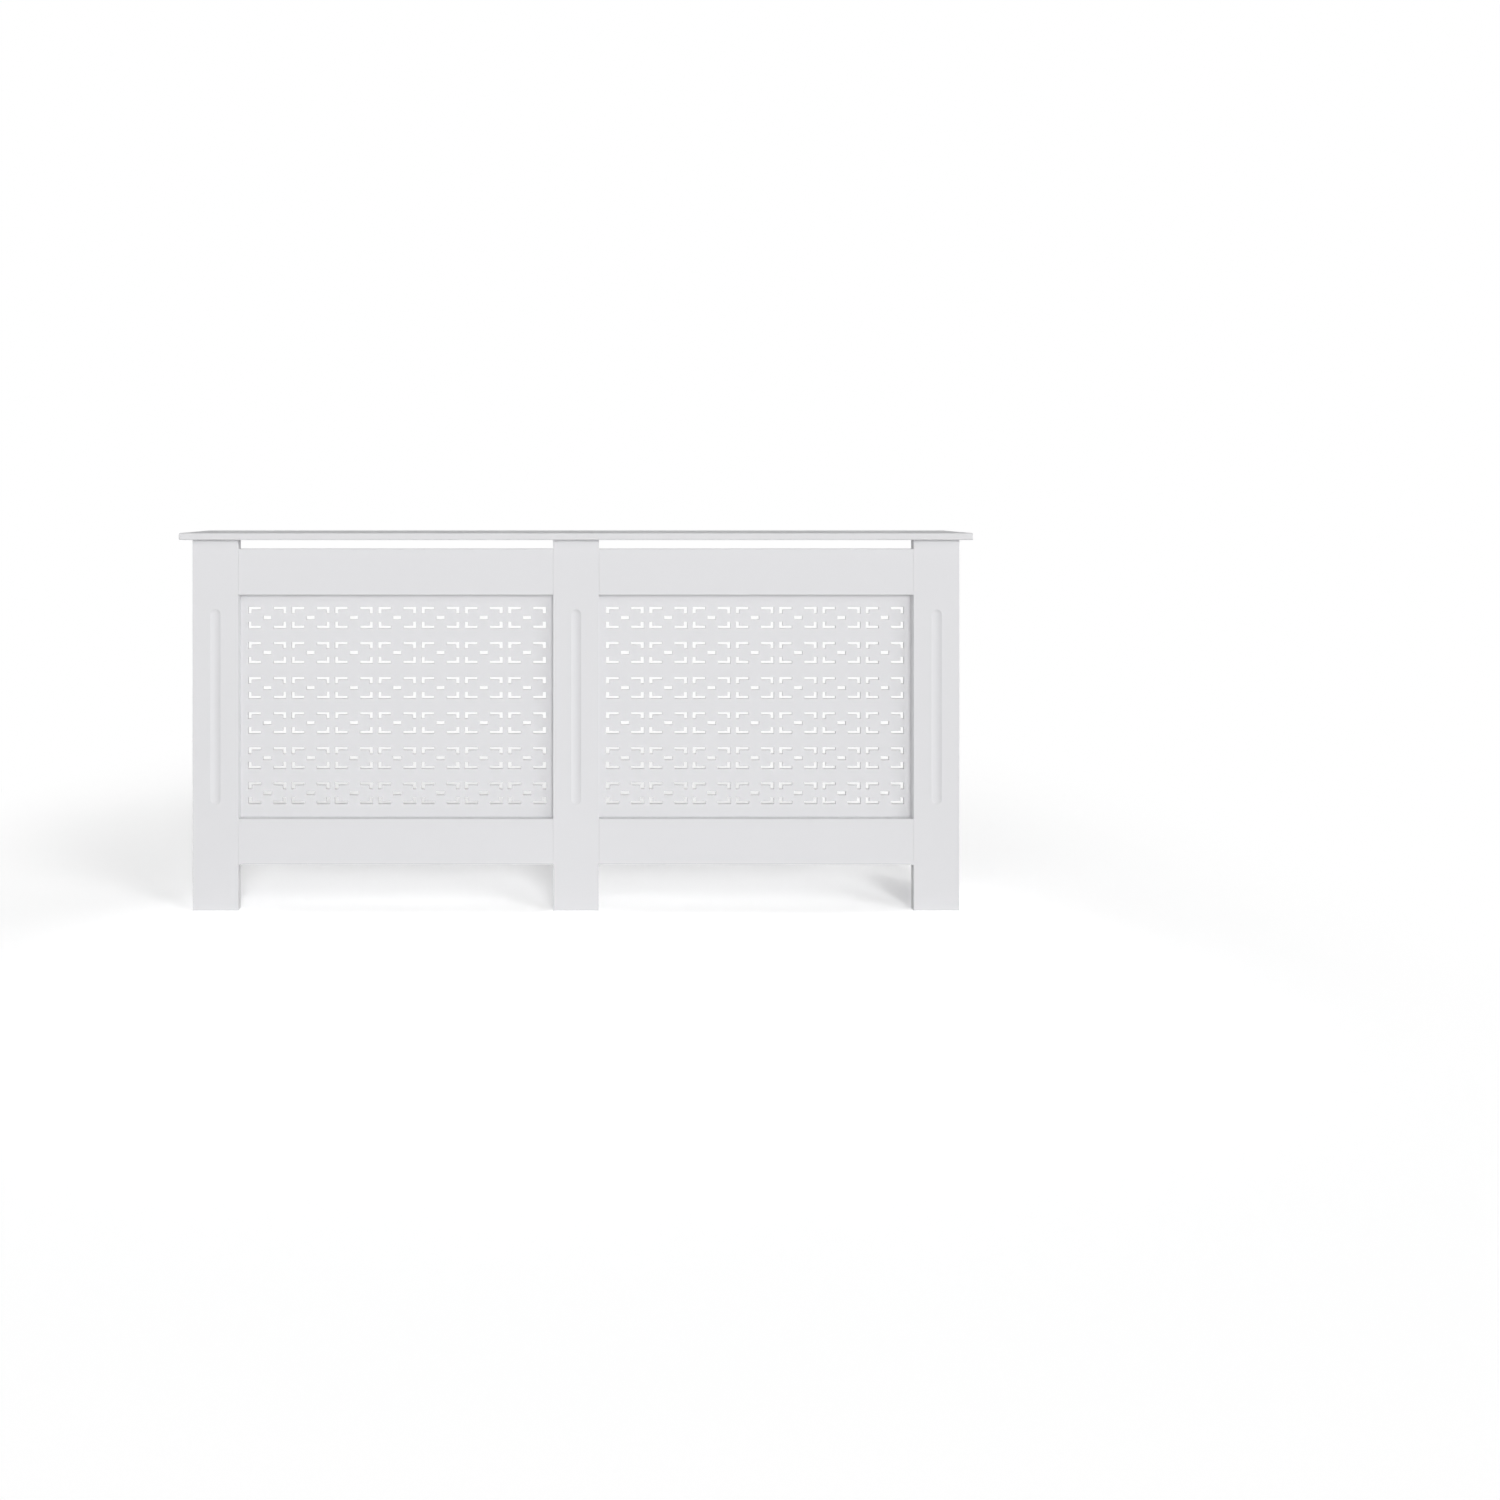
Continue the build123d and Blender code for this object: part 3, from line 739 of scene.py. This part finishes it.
half_dowel = dowel_length / 2
end_radius = round_at(dowel_radius - dowel_chamfer)
dowel_rings = [
    (-half_dowel, None),
    (-half_dowel, end_radius),
    (-half_dowel + dowel_chamfer, fluted_at),
    (half_dowel - dowel_chamfer, fluted_at),
    (half_dowel, end_radius),
    (half_dowel, None),
]
dowel_mesh = turned("dowel", dowel_rings, sides_per_flute * dowel_flutes)
along_grain = dowel_mesh.attributes.new("grain", "FLOAT_VECTOR", "POINT")
for value, vertex in zip(along_grain.data, dowel_mesh.vertices):
    value.vector = vertex.co
dowel = new_object("dowel", dowel_mesh)

beech, start, shader = new_material("beech")
grain = start.add("ShaderNodeAttribute", {"attribute_name": "grain"}, output="Vector")
lot = start.add("ShaderNodeAttribute", {"attribute_name": "lot"}, output="Fac")
grain = start.add("ShaderNodeVectorMath", {"operation": "ADD"}, {0: grain, 1: lot})
grain = start.add("ShaderNodeMapping", {}, {"Vector": grain, "Scale": grain_stretch})
fleck = noise(grain, fleck_scale, detail=4.0)
tone = mixed(noise(grain, ring_scale), pale_beech, dark_beech)
tone = mixed(fleck * (lot + fleck_least), tone, fleck_shade, "MULTIPLY")
feed(shader, "Base Color", tone)
feed(shader, "Roughness", beech_roughness + fleck * fleck_roughness)
emboss(shader, fleck, fleck_depth)

for seed, node in enumerate(("rail_dowels", "side_panel_dowels", "shelf_dowels", "seam_dowels")):
    piece = grow(
        f"fluted_{node}",
        points_mesh(node, places(node), share=0.5),
        set_out,
        Fitting=dowel,
        Seed=seed,
        Crease=crease_angle,
        Material=beech,
    )
    stand_for(piece, "beech_dowel", node)
bpy.data.objects.remove(dowel)


# ---- Cams and their bolts: die-cast zinc discs with a cross slot, dull from the mould, and
# ---- plated steel bolts, screwed into one board and caught in the cam of the next.
cast_zinc = metal(
    "cast_zinc",
    color=(0.60, 0.60, 0.61, 1.0),
    dull_color=(0.46, 0.46, 0.47, 1.0),
    roughness=0.52,
    cloud_scale=420.0,
    grain_scale=2400.0,
    grain_depth=0.00003,
)
coat(cast_zinc, "rail_cams", "side_panel_cams", "shelf_cams")
coat(bright_zinc, "rail_cam_bolts", "side_panel_cam_bolts", "shelf_cam_bolts")


# ---- Seam plates: flat plated steel, screwed up into both halves of the shelf with countersunk
# ---- screws to hold their joint level.
board_screw_radius, board_screw_length = 0.002, 0.012
coat(bright_zinc, "seam_plates")
set_screws("seam_plate_screws", board_screw_radius, board_screw_length, countersunk=True, seed=5)


# ---- Wall brackets: bent strips of the same plated steel, screwed to the side panels and under
# ---- the shelf with pan-head screws of the same size, with a hole each for the wall.
coat(bright_zinc, "wall_brackets")
set_screws("bracket_screws", board_screw_radius, board_screw_length, countersunk=False, seed=8)


# ---- Floor: a pale floor that takes the cabinet's shadow. It is seen brighter than it is, so that
# ---- it is white where it is fully lit, and it whitens away from the cabinet, sooner beside it
# ---- than behind it, where its shadow falls.
floor_half = 12.0
floor_shade, floor_seen_at = 0.96, 2.16
white_beside, white_behind = 1.0, 1.9
pure_white = (1.0, 1.0, 1.0, 1.0)


def seen_directly(start):
    """One where the light path comes from the camera, a mirror or glass, and nought elsewhere."""
    path = start.add("ShaderNodeLightPath", output="Is Camera Ray")
    seen = path.math("MAXIMUM", path.other("Is Glossy Ray"))
    return seen.math("MAXIMUM", path.other("Is Transmission Ray"))


def choose(share, first, second):
    """The first shader, or the second where the share is one."""
    return share.add("ShaderNodeMixShader", {}, {0: share, 1: first, 2: second})


floor_mesh = bpy.data.meshes.new("floor")
corners = rectangle(-floor_half, -floor_half, floor_half, floor_half)
floor_mesh.from_pydata([(x, y, 0) for x, y in corners], [], [range(4)])
floor = new_object("floor", floor_mesh)

floor_material = bpy.data.materials.new("pale_floor")
floor_material.use_nodes = True
floor_material.node_tree.nodes.clear()
start = Wire(floor_material.node_tree)
seen = seen_directly(start)
lit = start.add("ShaderNodeBsdfDiffuse", {}, {"Color": (floor_shade,) * 3 + (1.0,)})
bright = start.add("ShaderNodeBsdfDiffuse", {}, {"Color": (floor_seen_at,) * 3 + (1.0,)})
white = start.add("ShaderNodeEmission", {}, {"Color": pure_white, "Strength": 1.0})
reach = start.add("ShaderNodeTexCoord", output="Object")
for operation, second in (
    ("ABSOLUTE", (0, 0, 0)),
    ("SUBTRACT", cad_high),
    ("MAXIMUM", (0, 0, 0)),
    ("DIVIDE", (white_beside, white_behind, 1.0)),
):
    reach = start.add("ShaderNodeVectorMath", {"operation": operation}, {0: reach, 1: second})
reach = start.add("ShaderNodeVectorMath", {"operation": "LENGTH"}, {0: reach}, output="Value")
far = reach.add("ShaderNodeMapRange", {"interpolation_type": "SMOOTHSTEP"}, {"Value": reach})
surface = choose(far * seen, choose(seen, lit, bright), white)
start.add("ShaderNodeOutputMaterial", {}, {"Surface": surface})
floor_mesh.materials.append(floor_material)
floor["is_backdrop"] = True


# ---- Light: a plain white room, brightest round the horizon, a lamp in front and one at its
# ---- right, whose shadows show on the floor, and a wide one at each side and behind, whose
# ---- shadows hardly do. What is seen or mirrored of the room is plain white.
horizon_glow = 1.88
horizon_falloff = 9.0

world = bpy.data.worlds.new("room")
scene.world = world
world.use_nodes = True
world.node_tree.nodes.clear()
start = Wire(world.node_tree)
direction = start.add("ShaderNodeTexCoord", output="Generated")
height = direction.add("ShaderNodeSeparateXYZ", {}, {0: direction}, output="Z")
level = 1 - height.math("ABSOLUTE")
glow = level.math("POWER", horizon_falloff) * horizon_glow
room = start.add("ShaderNodeBackground", {}, {"Color": pure_white, "Strength": glow})
backdrop = start.add("ShaderNodeBackground", {}, {"Color": pure_white, "Strength": 1.0})
sky = choose(seen_directly(start), room, backdrop)
start.add("ShaderNodeOutputWorld", {}, {"Surface": sky})


def add_lamp(name, strength, spread, height, turn):
    """A far lamp as wide as its spread, at a height over the floor and a turn to the right of
    straight ahead, all three in degrees."""
    data = bpy.data.lights.new(name, "SUN")
    data.energy = strength
    data.angle = math.radians(spread)
    lamp = bpy.data.objects.new(name, data)
    lamp.rotation_euler = (math.radians(90 - height), 0, math.radians(turn))
    scene.collection.objects.link(lamp)


add_lamp("front_lamp", strength=1.27, spread=22, height=15, turn=12)
add_lamp("side_lamp", strength=0.68, spread=26, height=24, turn=56)
add_lamp("right_glow", strength=0.89, spread=50, height=12, turn=95)
add_lamp("left_glow", strength=1.15, spread=110, height=12, turn=-70)
add_lamp("back_glow", strength=0.42, spread=70, height=6, turn=180)


# ---- The model's size after the pieces are dressed; cad_low and cad_high hold its size from before.
low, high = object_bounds()
